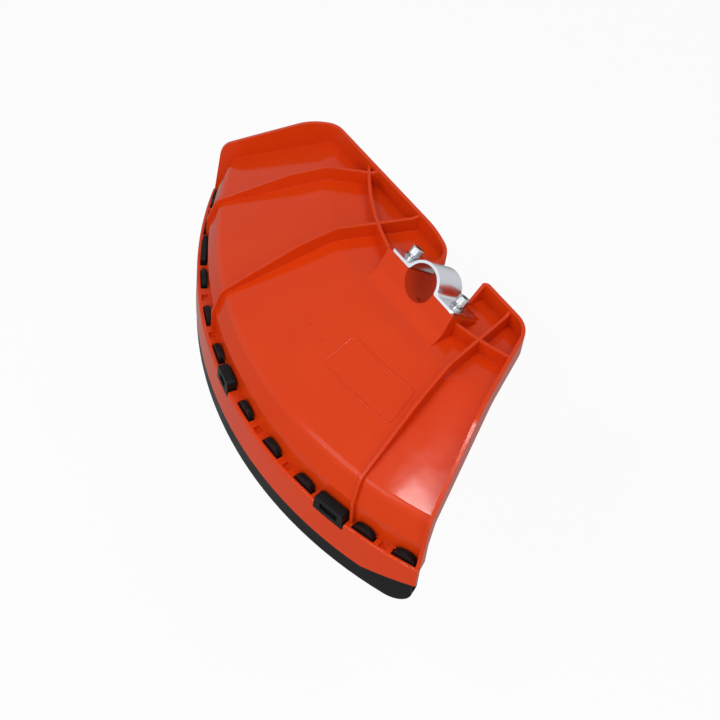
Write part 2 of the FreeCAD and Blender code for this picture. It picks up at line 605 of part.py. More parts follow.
def hem_cutter(name, end, side):
    """Takes the lower edge of the outer wall up towards one end."""
    body = spindle_body(name, end)
    sketch = new_sketch(body, "YZ_Plane", f"{name}Side")
    low = "(-Sizes.hem_drop - Sizes.trim_margin)"
    past = "(1 + Sizes.trim_margin / Sizes.hem_run)"
    outline(sketch, (
        (f"-{side} * Sizes.hem_run", "-Sizes.hem_drop"),
        (f"{side} * Sizes.trim_margin", f"Sizes.hem_lift * {past} - Sizes.hem_drop"),
        (f"{side} * Sizes.trim_margin", low),
        (f"-{side} * Sizes.hem_run", low)))
    extrude(body, sketch, "Sizes.guard_radius + Sizes.trim_margin")
    return body


def tube_cutter():
    """The tube's own path through the seat and the notch, with the locating sink in the seat."""
    body = clamp_body("TubePath")
    sketch = new_sketch(body, "XZ_Plane", "TubeSection")
    ring(sketch, "Sizes.tube_diameter")
    extrude(body, sketch, "2 * Sizes.spindle_reach", symmetric=True)
    sink = new_sketch(body, "XY_Plane", "SinkOutline", lift="-Sizes.tube_diameter / 2 - Sizes.sink_depth")
    ring(sink, "Sizes.sink_diameter", y="Sizes.sink_shift")
    extrude(body, sink, "Sizes.tube_diameter / 2")
    return body


def strap_room():
    """Clears what would stand in the strap's way above the seat plane."""
    body = clamp_body("StrapRoom")
    sketch = new_sketch(body, "XY_Plane", "StrapRoomOutline", lift="Sizes.seat_rise")
    half = "(Sizes.flange_half + Sizes.strap_margin)"
    back = "(-Sizes.strap_width / 2 - Sizes.trim_margin)"
    front = "Sizes.seat_clear"
    outline(sketch, ((f"-{half}", back), (half, back), (half, front), (f"-{half}", front)))
    extrude(body, sketch, "Sizes.tube_diameter")
    return body


def screw_cutter(name, side):
    """A screw's hole with the nut's pocket below it."""
    body = clamp_body(name, across=f"{side} * Sizes.screw_spacing / 2")
    hole = new_sketch(body, "XY_Plane", f"{name}Hole", lift=FLANGE_TOP)
    ring(hole, "Sizes.screw_diameter + Sizes.hole_play")
    extrude(body, hole, f"{FLANGE_TOP} + Sizes.nut_seat + Sizes.trim_margin", backwards=True)
    pocket = new_sketch(body, "XY_Plane", f"{name}Pocket", lift="-Sizes.nut_seat")
    hexagon(pocket, "(Sizes.nut_flats + Sizes.nut_play)")
    extrude(body, pocket, "Sizes.nut_seat + 2 * Sizes.trim_margin", backwards=True)
    return body


def guard_shell():
    """The whole moulding: panel and rim, then ribs and seat fused in, then every opening cut."""
    plan = plan_prism("Plan", "0")
    inset = plan_prism("PlanInset", "Sizes.rim_wall")
    band = combine("EdgeBand", "Part::Cut", plan, inset)
    rim = combine("Rim", "Part::Common", rim_ring(), band)
    ribs = [radial_rib(f"Rib{side.title()}", side) for side in ("left", "middle", "right")]
    floor = join("Floor", [shell_ring(), arc_rib(), *ribs, seat_block(), seat_trough()])
    moulding = join("Moulding", [combine("FloorInPlan", "Part::Common", floor, plan), rim])
    cutters = [tube_cutter(), strap_room(), rim_fall(), *ledge_cutters(),
               screw_cutter("ScrewLeft", "-1"), screw_cutter("ScrewRight", "1"),
               hem_cutter("HemLeft", "Sizes.left_end_angle", "-1"),
               hem_cutter("HemRight", "Sizes.right_end_angle", "1")]
    return combine("guard_shell", "Part::Cut", moulding, join("Openings", cutters))


def rounded_box(box, radius, wanted):
    """A box with some of its edges rounded; the test sees the edges in the box's own frame."""
    doc.recompute()
    back = box.Placement.inverse()
    picked = []
    for i, edge in enumerate(box.Shape.Edges, 1):
        ends = [back.multVec(vertex.Point) for vertex in edge.Vertexes]
        if wanted(*ends):
            picked.append((i, value(radius), value(radius)))
    result = doc.addObject("Part::Fillet", f"{box.Name}Round")
    result.Base = box
    result.Edges = picked
    return result


def skirt_wall():
    """The skirt's own section: a thin wall behind the shell's outer wall, flush with it lower down."""
    body = spindle_body("SkirtRing")
    sketch = new_sketch(body, "XZ_Plane", "SkirtSection")
    inside = f"{SKIRT_OUTSIDE} - Sizes.skirt_wall"
    flush = "Sizes.guard_radius - Sizes.skirt_gap"
    step = "-Sizes.hem_drop - Sizes.skirt_gap"
    low = "-Sizes.hem_drop - Sizes.skirt_reach"
    lip = f"{inside} - Sizes.skirt_lip"
    under_lip = f"{LEDGE_UNDERSIDE} - Sizes.skirt_wall"
    outline(sketch, ((inside, low), (flush, low), (flush, step), (SKIRT_OUTSIDE, step),
                     (SKIRT_OUTSIDE, LEDGE_UNDERSIDE), (lip, LEDGE_UNDERSIDE), (lip, under_lip),
                     (inside, under_lip)))
    revolve(body, sketch, f"{SECTOR_SPAN} - 2 * Sizes.skirt_inset_angle")
    bottom = value(low)

    def end_corner(edge):
        ends = [vertex.Point for vertex in edge.Vertexes]
        flat = isinstance(edge.Curve, Part.Line)
        return flat and all(near(point.z, bottom) for point in ends)

    round_edges(body, "Sizes.skirt_round", end_corner)
    return body


def skirt_tab(name, angle, opening, radius):
    """A plate that stands up through a slot of the ledge, round at its upper corners."""
    width = "(Sizes.slot_width - 2 * Sizes.tab_gap)"
    box = polar_box(name, angle, f"{SLOT_RADIUS} + Sizes.tab_gap", width,
                    f"{opening} - 2 * Sizes.tab_gap", f"{LEDGE_UNDERSIDE} - Sizes.skirt_wall",
                    "Sizes.tab_height - Sizes.ledge_drop")
    top = value("Sizes.tab_height + Sizes.wall + Sizes.skirt_wall")
    return rounded_box(box, radius,
                       lambda a, b: near(a.z, top) and near(b.z, top) and near(a.y, b.y))


def skirt_clip(name, angle, opening):
    """A clip that fills an opening of the ledge, with a window in its outer face."""
    depth = f"({LIP_RADIUS} - {SLOT_RADIUS} - Sizes.tab_gap)"
    low = "(-Sizes.ledge_drop - Sizes.clip_notch + Sizes.skirt_gap)"
    high = "(Sizes.clip_height - Sizes.ledge_drop)"
    box = polar_box(name, angle, f"{SLOT_RADIUS} + Sizes.tab_gap", depth,
                    f"{opening} - 2 * Sizes.tab_gap", low, high)
    top = value(f"{high} - {low}")
    block = rounded_box(box, "Sizes.clip_round",
                        lambda a, b: near(a.z, top) and near(b.z, top) and near(a.y, b.y))
    middle = "(Sizes.clip_height - Sizes.clip_notch) / 2 - Sizes.ledge_drop"
    window = polar_box(f"{name}Window", angle, f"{LIP_RADIUS} - Sizes.window_depth",
                       "2 * Sizes.window_depth", f"{opening} - 2 * Sizes.window_margin",
                       f"{middle} - Sizes.window_height / 2", f"{middle} + Sizes.window_height / 2")
    return combine(f"{name}Cut", "Part::Cut", block, window)


def skirt():
    """The skirt with its tabs and two clips."""
    tabs = [skirt_tab(f"Tab{i}", *tab) for i, tab in enumerate(TABS, 1)]
    clips = [skirt_clip(f"Clip{i}", *clip) for i, clip in enumerate(CLIPS, 1)]
    return join("skirt", [skirt_wall(), *tabs, *clips])


def strap_section(sketch):
    """Two flanges and the arch between them, one sheet thick."""
    inner = "(Sizes.tube_diameter / 2)"
    outer = f"({inner} + Sizes.strap_wall)"
    end = value("Sizes.flange_half")
    arches = []
    for radius, level in ((inner, "Sizes.seat_rise"), (outer, FLANGE_TOP)):
        foot = math.sqrt(value(radius) ** 2 - value(level) ** 2)
        arch = sketch.addGeometry(Part.Arc(FreeCAD.Vector(foot, value(level), 0),
                                           FreeCAD.Vector(0, value(radius), 0),
                                           FreeCAD.Vector(-foot, value(level), 0)))
        bind(sketch, "DistanceX", -1, 1, arch, 3, to="0")
        bind(sketch, "DistanceY", -1, 1, arch, 3, to="0")
        bind(sketch, "Radius", arch, to=radius)
        arches.append((arch, foot, level))
    for side, tip in ((1, 1), (-1, 2)):
        flats = []
        for arch, foot, level in arches:
            flat = sketch.addGeometry(Part.LineSegment(FreeCAD.Vector(side * foot, value(level), 0),
                                                       FreeCAD.Vector(side * end, value(level), 0)))
            sketch.addConstraint(Sketcher.Constraint("Coincident", flat, 1, arch, tip))
            sketch.addConstraint(Sketcher.Constraint("Horizontal", flat))
            bind(sketch, "DistanceX", -1, 1, flat, 2, to=f"{side} * Sizes.flange_half")
            bind(sketch, "DistanceY", -1, 1, flat, 2, to=level)
            flats.append(flat)
        points = [sketch.getPoint(flat, 2) for flat in flats]
        edge = sketch.addGeometry(Part.LineSegment(*points))
        sketch.addConstraint(Sketcher.Constraint("Coincident", edge, 1, flats[0], 2))
        sketch.addConstraint(Sketcher.Constraint("Coincident", edge, 2, flats[1], 2))
    return [(foot, value(level)) for arch, foot, level in arches]


def tube_clamp():
    """The saddle strap: bent sheet with rounded bends and corners and two screw holes."""
    body = clamp_body("tube_clamp")
    sketch = new_sketch(body, "XZ_Plane", "StrapSection")
    feet = strap_section(sketch)
    extrude(body, sketch, "Sizes.strap_width", symmetric=True)

    def bend(foot, level):
        def wanted(edge):
            ends = [vertex.Point for vertex in edge.Vertexes]
            straight = isinstance(edge.Curve, Part.Line)
            return straight and all(near(abs(point.x), foot) and near(point.z, level) for point in ends)
        return wanted

    round_edges(body, "Sizes.strap_bend - Sizes.strap_wall", bend(*feet[0]))
    round_edges(body, "Sizes.strap_bend", bend(*feet[1]))
    half = value("Sizes.flange_half")
    reach = value("Sizes.strap_width") / 2
    corners = [(x, y) for x in (-half, half) for y in (-reach, reach)]
    round_edges(body, "Sizes.flange_round", lambda edge: is_upright(edge, corners))
    holes = new_sketch(body, "XY_Plane", "StrapHoles", lift=FLANGE_TOP)
    for side in (-1, 1):
        ring(holes, "Sizes.screw_diameter + Sizes.hole_play", x=f"{side} * Sizes.screw_spacing / 2")
    extrude(body, holes, "2 * Sizes.strap_wall", cut=True)
    return body


def clamp_screw(name, across):
    """A socket-head cap screw: shank and head turned in one, then the hexagon socket."""
    body = clamp_body(name, across, HEAD_SEAT)
    sketch = new_sketch(body, "XZ_Plane", f"{name}_section")
    shank = "(Sizes.screw_diameter / 2)"
    head = "(Sizes.head_diameter / 2)"
    tip = "-Sizes.screw_length"
    outline(sketch, (("0", tip), (f"{shank} - Sizes.screw_edge", tip), (shank, f"{tip} + Sizes.screw_edge"),
                     (shank, "0"), (head, "0"), (head, "Sizes.head_height - Sizes.screw_edge"),
                     (f"{head} - Sizes.screw_edge", "Sizes.head_height"), ("0", "Sizes.head_height")))
    revolve(body, sketch, "360")
    socket = new_sketch(body, "XY_Plane", f"{name}_socket", lift="Sizes.head_height")
    hexagon(socket, "Sizes.socket_flats")
    extrude(body, socket, "Sizes.socket_depth", cut=True)
    return body


def washer(name, across, seat, diameter, height):
    """A plain ring on the screw."""
    body = clamp_body(name, across, seat)
    sketch = new_sketch(body, "XY_Plane", f"{name}_plan")
    ring(sketch, diameter)
    ring(sketch, "Sizes.screw_diameter + Sizes.hole_play")
    extrude(body, sketch, height)
    return body


def spring_washer(name, across):
    """A ring with a slit through one side."""
    seat = f"{FLANGE_TOP} + Sizes.flat_washer_height"
    body = washer(name, across, seat, "Sizes.spring_washer_diameter", "Sizes.spring_washer_height")
    slit = new_sketch(body, "XY_Plane", f"{name}_slit", lift="Sizes.spring_washer_height")
    half = "Sizes.spring_slit / 2"
    outline(slit, ((f"-{half}", "0"), (half, "0"), (half, "Sizes.spring_washer_diameter"),
                   (f"-{half}", "Sizes.spring_washer_diameter")))
    extrude(body, slit, "Sizes.spring_washer_height", cut=True)
    return body


def hex_nut(name, across):
    """A plain nut on the floor of its pocket."""
    body = clamp_body(name, across, "-Sizes.nut_seat - Sizes.nut_height")
    sketch = new_sketch(body, "XY_Plane", f"{name}_plan")
    hexagon(sketch, "Sizes.nut_flats")
    ring(sketch, "Sizes.screw_diameter")
    extrude(body, sketch, "Sizes.nut_height")
    return body


nodes = [guard_shell(), skirt(), tube_clamp()]
for word, side in (("left", "-1"), ("right", "1")):
    across = f"{side} * Sizes.screw_spacing / 2"
    nodes.append(clamp_screw(f"clamp_screw_{word}", across))
    nodes.append(spring_washer(f"spring_washer_{word}", across))
    nodes.append(washer(f"flat_washer_{word}", across, FLANGE_TOP, "Sizes.flat_washer_diameter",
                        "Sizes.flat_washer_height"))
    nodes.append(hex_nut(f"hex_nut_{word}", across))
doc.recompute()

for item in doc.Objects:
    if "Invalid" in item.State or "Error" in item.State:
        raise RuntimeError(f"{item.Name} could not be built")
os.makedirs("parts", exist_ok=True)
for node in nodes:
    if node.Shape.isNull() or not node.Shape.isValid() or len(node.Shape.Solids) != 1:
        raise RuntimeError(f"{node.Label} is not one valid solid")
    node.Shape.exportStep(f"parts/{node.Label}.step")
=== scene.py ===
"""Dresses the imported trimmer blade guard: plastics, plated steel, small mouldings, stage and camera."""
import math

import bmesh
import bpy
from bpy.props import FloatProperty, FloatVectorProperty, IntProperty, PointerProperty
from mathutils import Euler, Matrix, Vector


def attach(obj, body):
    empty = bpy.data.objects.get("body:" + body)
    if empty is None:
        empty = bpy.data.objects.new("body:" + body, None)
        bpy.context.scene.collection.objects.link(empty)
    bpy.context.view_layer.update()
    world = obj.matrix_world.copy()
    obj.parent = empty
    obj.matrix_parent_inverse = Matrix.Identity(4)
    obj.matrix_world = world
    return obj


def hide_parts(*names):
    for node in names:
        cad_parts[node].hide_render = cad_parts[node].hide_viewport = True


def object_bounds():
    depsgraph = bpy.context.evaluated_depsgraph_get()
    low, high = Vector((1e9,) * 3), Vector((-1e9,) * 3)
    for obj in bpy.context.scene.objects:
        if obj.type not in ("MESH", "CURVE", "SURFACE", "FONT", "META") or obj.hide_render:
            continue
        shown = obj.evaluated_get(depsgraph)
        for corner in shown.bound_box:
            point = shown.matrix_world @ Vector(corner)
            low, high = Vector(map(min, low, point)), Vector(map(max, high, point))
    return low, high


bl_info = {
    "name": "Trimmer blade guard",
    "version": (1, 0, 0),
    "blender": (4, 5, 0),
    "location": "3D View > Sidebar > Guard",
    "description": "Gives the packed trimmer blade guard its finishes, small mouldings and stage",
    "category": "Object",
}

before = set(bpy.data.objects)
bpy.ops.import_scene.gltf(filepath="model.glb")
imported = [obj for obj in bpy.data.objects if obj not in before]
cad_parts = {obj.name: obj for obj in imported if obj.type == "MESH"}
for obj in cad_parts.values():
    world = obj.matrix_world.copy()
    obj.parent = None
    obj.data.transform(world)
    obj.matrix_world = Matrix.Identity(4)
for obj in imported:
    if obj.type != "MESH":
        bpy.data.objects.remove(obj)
CAD_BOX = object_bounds()

MM = 0.001
BODY = "root"
SIDES = ("left", "right")

# Points of a new piece that are closer than this become one.
MERGE_GAP = 0.001 * MM
# Sides of a small round piece.
ROUND_STEPS = 24


def linear(hex_colour):
    """An sRGB hex value as linear red, green, blue and alpha."""
    channels = [int(hex_colour[i:i + 2], 16) / 255 for i in (1, 3, 5)]
    return tuple(c / 12.92 if c <= 0.04045 else ((c + 0.055) / 1.055) ** 2.4 for c in channels) + (1.0,)


class GuardColours(bpy.types.PropertyGroup):
    """Colours of the guard's materials."""
    shell: FloatVectorProperty(
        name="Shell", description="Orange-red of the moulded shell",
        size=4, subtype="COLOR", min=0, max=1, default=linear("#D63D0A"))
    shell_flow: FloatVectorProperty(
        name="Shell flow", description="Slightly deeper tone where the melt flowed",
        size=4, subtype="COLOR", min=0, max=1, default=linear("#CE3708"))
    skirt: FloatVectorProperty(
        name="Skirt", description="Black of the clip-on skirt",
        size=4, subtype="COLOR", min=0, max=1, default=linear("#0E0F11"))
    skirt_grain: FloatVectorProperty(
        name="Skirt grain", description="Greyer tone on top of the skirt's grain",
        size=4, subtype="COLOR", min=0, max=1, default=linear("#161719"))
    zinc: FloatVectorProperty(
        name="Zinc", description="Bright zinc plating of the strap",
        size=4, subtype="COLOR", min=0, max=1, default=linear("#DADCE2"))
    zinc_shade: FloatVectorProperty(
        name="Zinc shade", description="Duller patches of the strap's plating",
        size=4, subtype="COLOR", min=0, max=1, default=linear("#D0D3DA"))
    bright_steel: FloatVectorProperty(
        name="Bright steel", description="Plating of the screws, washers and nuts",
        size=4, subtype="COLOR", min=0, max=1, default=linear("#B9BBBE"))
    bright_steel_shade: FloatVectorProperty(
        name="Bright steel shade", description="Duller patches of that plating",
        size=4, subtype="COLOR", min=0, max=1, default=linear("#A3A5A8"))
    floor: FloatVectorProperty(
        name="Floor", description="Pale studio floor",
        size=4, subtype="COLOR", min=0, max=1, default=linear("#F4F4F4"))


class GuardMouldings(bpy.types.PropertyGroup):
    """Label frame, ejector marks, rib feet, seat lip and skirt ends, and how soft moulded edges are."""
    spindle_reach: FloatProperty(
        name="Spindle reach", unit="LENGTH", default=171.4 * MM,
        description="From the clamp to the spindle axis, the middle of the panel's cone")
    crease_radius: FloatProperty(
        name="Crease radius", description="Where the panel starts to slope", unit="LENGTH",
        default=210 * MM)
    panel_drop: FloatProperty(
        name="Panel drop", description="Level part of the panel below the clamp", unit="LENGTH",
        default=9.4 * MM)
    panel_slope: FloatProperty(
        name="Panel slope", description="Fall of the sloped panel", unit="ROTATION",
        default=math.atan(39 / 75))
    frame_length: FloatProperty(
        name="Frame length", description="Bare label frame, along the panel", unit="LENGTH",
        default=62 * MM)
    frame_width: FloatProperty(
        name="Frame width", description="Bare label frame, down the slope", unit="LENGTH",
        default=28 * MM)
    frame_round: FloatProperty(
        name="Frame corner", description="Corner radius of the label frame", unit="LENGTH", default=4 * MM)
    frame_line: FloatProperty(
        name="Frame line", description="Width of the raised line", unit="LENGTH", default=1.5 * MM)
    frame_rise: FloatProperty(
        name="Frame rise", description="Height of the raised line", unit="LENGTH", default=0.5 * MM)
    frame_angle: FloatProperty(
        name="Frame angle", description="Direction of the frame's middle from the spindle",
        unit="ROTATION", default=math.radians(6.4))
    frame_radius: FloatProperty(
        name="Frame radius", description="Middle of the frame from the spindle", unit="LENGTH",
        default=239.5 * MM)
    mark_size: FloatProperty(
        name="Ejector mark", description="Diameter of an ejector pin's mark", unit="LENGTH",
        default=2.6 * MM)
    rib_wall: FloatProperty(
        name="Rib wall", description="Thickness of the ribs", unit="LENGTH", default=2.2 * MM)
    lip_radius: FloatProperty(
        name="Seat lip radius", description="Inside of the tube seat's lip", unit="LENGTH",
        default=13.05 * MM)
    lip_wall: FloatProperty(
        name="Seat lip wall", description="Wall of the tube seat's lip", unit="LENGTH", default=3.35 * MM)
    lip_start: FloatProperty(
        name="Seat lip start", description="Where the lip starts, down the tube", unit="LENGTH",
        default=13.3 * MM)
    lip_length: FloatProperty(
        name="Seat lip length", description="Length of the lip", unit="LENGTH", default=13.7 * MM)
    lip_sweep: FloatProperty(
        name="Seat lip sweep", description="How far the lip reaches round the tube", unit="ROTATION",
        default=math.radians(200))
    left_end: FloatProperty(
        name="Left end", description="Direction of the shell's left end", unit="ROTATION",
        default=math.radians(-47.35))
    right_end: FloatProperty(
        name="Right end", description="Direction of the shell's right end", unit="ROTATION",
        default=math.radians(26.25))
    hem_drop: FloatProperty(
        name="Hem drop", description="Lower edge of the shell's outer wall", unit="LENGTH",
        default=115.4 * MM)
    hem_lift: FloatProperty(
        name="Hem lift", description="Rise of that edge at the ends", unit="LENGTH", default=13 * MM)
    hem_run: FloatProperty(
        name="Hem run", description="Length of that rise", unit="LENGTH", default=40 * MM)
    skirt_radius: FloatProperty(
        name="Skirt radius", description="Outer face of the skirt from the spindle", unit="LENGTH",
        default=300 * MM)
    skirt_step: FloatProperty(
        name="Skirt step", description="Depth of the skirt's step under the shell", unit="LENGTH",
        default=3.6 * MM)
    edge_round: FloatProperty(
        name="Edge softness", description="Radius of the mould's broken edges", unit="LENGTH",
        default=0.4 * MM)


class GuardFasteners(bpy.types.PropertyGroup):
    """Sizes of the clamp's screws and spring washers, along the screws' own direction."""
    tilt: FloatProperty(
        name="Tilt", description="Lean of the screws from upright", unit="ROTATION",
        default=math.radians(40.7))
    spacing: FloatProperty(
        name="Spacing", description="Between the clamp screws", unit="LENGTH", default=50 * MM)
    head_seat: FloatProperty(
        name="Head seat", description="Underside of the heads above the tube's axis", unit="LENGTH",
        default=5.5 * MM)
    head_height: FloatProperty(
        name="Head height", description="Height of a screw head", unit="LENGTH", default=6 * MM)
    head_radius: FloatProperty(
        name="Head radius", description="Radius over the knurl", unit="LENGTH", default=4.25 * MM)
    knurl_depth: FloatProperty(
        name="Knurl", description="Depth of the head's straight knurl", unit="LENGTH", default=0.12 * MM)
    knurl_count: IntProperty(
        name="Knurl ridges", description="Ridges round the head, a multiple of six", default=36, min=12)
    socket_flats: FloatProperty(
        name="Socket", description="Hexagon socket across flats", unit="LENGTH", default=4 * MM)
    socket_depth: FloatProperty(
        name="Socket depth", description="Depth of the socket", unit="LENGTH", default=3 * MM)
    shank_radius: FloatProperty(
        name="Shank radius", description="Radius over the thread", unit="LENGTH", default=2.5 * MM)
    shank_length: FloatProperty(
        name="Shank length", description="Shank below the head", unit="LENGTH", default=20 * MM)
    pitch: FloatProperty(
        name="Pitch", description="Pitch of the thread", unit="LENGTH", default=0.8 * MM)
    thread_turns: IntProperty(
        name="Thread turns", description="Turns of the thread from the tip", default=16, min=1)
    spring_height: FloatProperty(
        name="Spring washer height", description="Room for the spring washer", unit="LENGTH",
        default=1.4 * MM)
    spring_radius: FloatProperty(
        name="Spring washer radius", description="Outer radius of the spring washer", unit="LENGTH",
        default=3.9 * MM)
    spring_wire: FloatProperty(
        name="Spring washer wire", description="Width of its square wire", unit="LENGTH", default=1.1 * MM)


class GuardStage(bpy.types.PropertyGroup):
    """Camera, floor and light tent."""
    camera_place: FloatVectorProperty(
        name="Camera place", description="Where the camera stands",
        subtype="TRANSLATION", unit="LENGTH", default=(0.4665, -0.4500, 0.7210))
    camera_turn: FloatVectorProperty(
        name="Camera turn", description="How the camera is turned",
        subtype="EULER", unit="ROTATION",
        default=(math.radians(38.503), math.radians(-4.455), math.radians(55.152)))
    lens: FloatProperty(
        name="Lens", description="Focal length in millimetres on a 36 mm sensor",
        default=74.22, min=10)
    floor_drop: FloatProperty(
        name="Floor drop", description="Floor's distance below the skirt's lowest edge",
        unit="LENGTH", default=0.20, min=0)
    tent: FloatProperty(
        name="Tent", description="Brightness of the light tent round the object", default=0.44, min=0)


def add_node(tree, kind, settings=None, inputs=None):
    """Adds a shader node, sets its properties and sockets, and links the sockets given as outputs."""
    node = tree.nodes.new(kind)
    for key, setting in (settings or {}).items():
        setattr(node, key, setting)
    for key, source in (inputs or {}).items():
        if isinstance(source, bpy.types.NodeSocket):
            tree.links.new(source, node.inputs[key])
        else:
            node.inputs[key].default_value = source
    return node


def new_material(name):
    """An empty node material with its output node and its object coordinates."""
    material = bpy.data.materials.new(name)
    material.use_nodes = True
    tree = material.node_tree
    tree.nodes.clear()
    output = add_node(tree, "ShaderNodeOutputMaterial")
    return material, tree, output, add_node(tree, "ShaderNodeTexCoord").outputs["Object"]


def per_mm(size):
    """Noise scale whose features are about that many millimetres apart."""
    return 1 / (size * MM)


# Span that a noise texture mostly fills.
NOISE_LOW, NOISE_HIGH = 0.3, 0.7
# Rays that soften an edge.
EDGE_SAMPLES = 6
POLYPROPYLENE_IOR = 1.5
# Softness of the steel pieces' edges.
PLATED_EDGE = 0.25 * MM
# The seat is rubbed dull up to the first distance from the tube's axis, and glossy from the second.
SEAT_WEAR = (13.3 * MM, 13.6 * MM)
WORN_ROUGHNESS = 0.7
# Roughness of the plating's clouded and of its clear patches.
STRAP_ROUGHNESS = (0.27, 0.22)
WASHER_ROUGHNESS = (0.2, 0.1)
SCREW_ROUGHNESS = (0.14, 0.07)


def moulded_polypropylene_orange(name, colours, softness, tilt):
    """Injection-moulded orange-red polypropylene, straight from a polished mould."""
    # A polished mould gives a smooth, clear gloss with soft broken edges. The melt leaves a faint flow of
    # tone and shallow waves, and the seat is rubbed dull where the tube lies.
    material, tree, output, spot = new_material(name)
    flow = add_node(tree, "ShaderNodeTexNoise", inputs={
        "Vector": spot, "Scale": per_mm(60), "Detail": 2.0, "Distortion": 0.6})
    tone = add_node(tree, "ShaderNodeMix", {"data_type": "RGBA"}, {
        "Factor": flow.outputs["Fac"], "A": tuple(colours.shell_flow), "B": tuple(colours.shell)})
    rub = add_node(tree, "ShaderNodeTexNoise", inputs={
        "Vector": spot, "Scale": per_mm(14), "Detail": 4.0, "Roughness": 0.6})
    gloss = add_node(tree, "ShaderNodeMapRange", inputs={
        "Value": rub.outputs["Fac"], "From Min": NOISE_LOW, "From Max": NOISE_HIGH,
        "To Min": 0.11, "To Max": 0.17})
    sink = add_node(tree, "ShaderNodeTexNoise", inputs={
        "Vector": spot, "Scale": per_mm(22), "Detail": 3.0})
    edges = add_node(tree, "ShaderNodeBevel", {"samples": EDGE_SAMPLES}, {"Radius": softness})
    relief = add_node(tree, "ShaderNodeBump", inputs={
        "Strength": 1.0, "Distance": 0.12 * MM, "Height": sink.outputs["Fac"],
        "Normal": edges.outputs["Normal"]})
    across = add_node(tree, "ShaderNodeVectorMath", {"operation": "CROSS_PRODUCT"}, {
        0: spot, 1: (0, math.cos(tilt), -math.sin(tilt))})
    from_tube = add_node(tree, "ShaderNodeVectorMath", {"operation": "LENGTH"}, {
        0: across.outputs["Vector"]})
    worn = add_node(tree, "ShaderNodeMapRange", inputs={
        "Value": from_tube.outputs["Value"], "From Min": SEAT_WEAR[0], "From Max": SEAT_WEAR[1],
        "To Min": WORN_ROUGHNESS, "To Max": gloss.outputs["Result"]})
    shader = add_node(tree, "ShaderNodeBsdfPrincipled", inputs={
        "Base Color": tone.outputs["Result"], "Roughness": worn.outputs["Result"],
        "IOR": POLYPROPYLENE_IOR, "Specular IOR Level": 0.17, "Normal": relief.outputs["Normal"]})
    tree.links.new(shader.outputs["BSDF"], output.inputs["Surface"])
    return material


def moulded_polypropylene_black(colours, mouldings):
    """Injection-moulded black polypropylene from a lightly spark-eroded mould."""
    # The eroded mould leaves a fine satin grain that greys in the light; it is drawn coarser than life, so
    # that it shows.
    material, tree, output, spot = new_material("moulded_polypropylene_black")
    grain = add_node(tree, "ShaderNodeTexNoise", inputs={
        "Vector": spot, "Scale": per_mm(1.0), "Detail": 4.0, "Roughness": 0.6})
    tone = add_node(tree, "ShaderNodeMix", {"data_type": "RGBA"}, {
        "Factor": grain.outputs["Fac"], "A": tuple(colours.skirt), "B": tuple(colours.skirt_grain)})
    rub = add_node(tree, "ShaderNodeTexNoise", inputs={
        "Vector": spot, "Scale": per_mm(18), "Detail": 3.0})
    gloss = add_node(tree, "ShaderNodeMapRange", inputs={
        "Value": rub.outputs["Fac"], "From Min": NOISE_LOW, "From Max": NOISE_HIGH,
        "To Min": 0.28, "To Max": 0.4})
    edges = add_node(tree, "ShaderNodeBevel", {"samples": EDGE_SAMPLES}, {
        "Radius": mouldings.edge_round / 2})
    relief = add_node(tree, "ShaderNodeBump", inputs={
        "Strength": 0.2, "Distance": 0.06 * MM, "Height": grain.outputs["Fac"],
        "Normal": edges.outputs["Normal"]})
    shader = add_node(tree, "ShaderNodeBsdfPrincipled", inputs={
        "Base Color": tone.outputs["Result"], "Roughness": gloss.outputs["Result"],
        "IOR": POLYPROPYLENE_IOR, "Specular IOR Level": 0.12, "Normal": relief.outputs["Normal"]})
    tree.links.new(shader.outputs["BSDF"], output.inputs["Surface"])
    return material


def plated_steel(name, shade, clear, dull, bright):
    """Steel with bright zinc plating: tone and roughness of its clouded and its clear patches."""
    # Fresh bright zinc gives a cool mirror-like sheen, slightly clouded in patches; its pits are drawn
    # coarser than life, so that they show.
    material, tree, output, spot = new_material(name)
    cloud = add_node(tree, "ShaderNodeTexNoise", inputs={
        "Vector": spot, "Scale": per_mm(9), "Detail": 4.0, "Roughness": 0.55})
    tone = add_node(tree, "ShaderNodeMix", {"data_type": "RGBA"}, {
        "Factor": cloud.outputs["Fac"], "A": tuple(shade), "B": tuple(clear)})
    gloss = add_node(tree, "ShaderNodeMapRange", inputs={
        "Value": cloud.outputs["Fac"], "From Min": NOISE_LOW, "From Max": NOISE_HIGH,
        "To Min": dull, "To Max": bright})
    pit = add_node(tree, "ShaderNodeTexNoise", inputs={
        "Vector": spot, "Scale": per_mm(0.8), "Detail": 2.0})
    edges = add_node(tree, "ShaderNodeBevel", {"samples": EDGE_SAMPLES}, {"Radius": PLATED_EDGE})
    relief = add_node(tree, "ShaderNodeBump", inputs={
        "Strength": 0.3, "Distance": 0.002 * MM, "Height": pit.outputs["Fac"],
        "Normal": edges.outputs["Normal"]})
    shader = add_node(tree, "ShaderNodeBsdfPrincipled", inputs={
        "Base Color": tone.outputs["Result"], "Metallic": 1.0, "Roughness": gloss.outputs["Result"],
        "Normal": relief.outputs["Normal"]})
    tree.links.new(shader.outputs["BSDF"], output.inputs["Surface"])
    return material


def finish_node(name, material):
    """Gives a CAD node one material."""
    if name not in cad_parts:
        raise RuntimeError("no CAD node named " + name)
    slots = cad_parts[name].data.materials
    slots.clear()
    slots.append(material)


def finish_of(name):
    """The material that a CAD node was given."""
    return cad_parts[name].data.materials[0]


